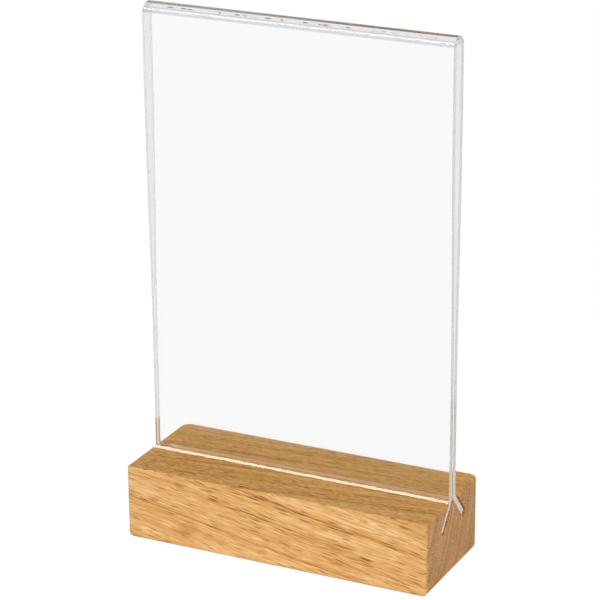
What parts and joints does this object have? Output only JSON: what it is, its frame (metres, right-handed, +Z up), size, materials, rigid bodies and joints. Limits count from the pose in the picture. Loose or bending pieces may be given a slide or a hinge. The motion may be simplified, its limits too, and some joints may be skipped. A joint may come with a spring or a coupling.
{
  "type": "acrylic sign holder",
  "caption": "Free-standing card and sign holder: a clear folded acrylic sleeve, readable from both sides, whose splayed legs sit in slanted slots along a solid wood block.",
  "frame": {"origin": "middle of the wood block's underside", "axes": "+X along the block, to the right as seen from the front; +Y to the back; +Z up"},
  "size_m": [0.106, 0.042, 0.175],
  "materials": {
    "hardwood": "satin, lightly oiled, fine open grain",
    "clear_acrylic": "clear, polished, heat-bent sheet with sawn and polished edges"
  },
  "bodies": {
    "base": {"wood_base": "hardwood"},
    "sleeve": {"acrylic_sleeve": "clear_acrylic"}
  },
  "joints": [
    {"name": "sleeve_slide", "type": "slide", "parent": "base", "child": "sleeve", "axis": [1, 0, 0], "range_m": [-0.106, 0.106]}
  ]
}
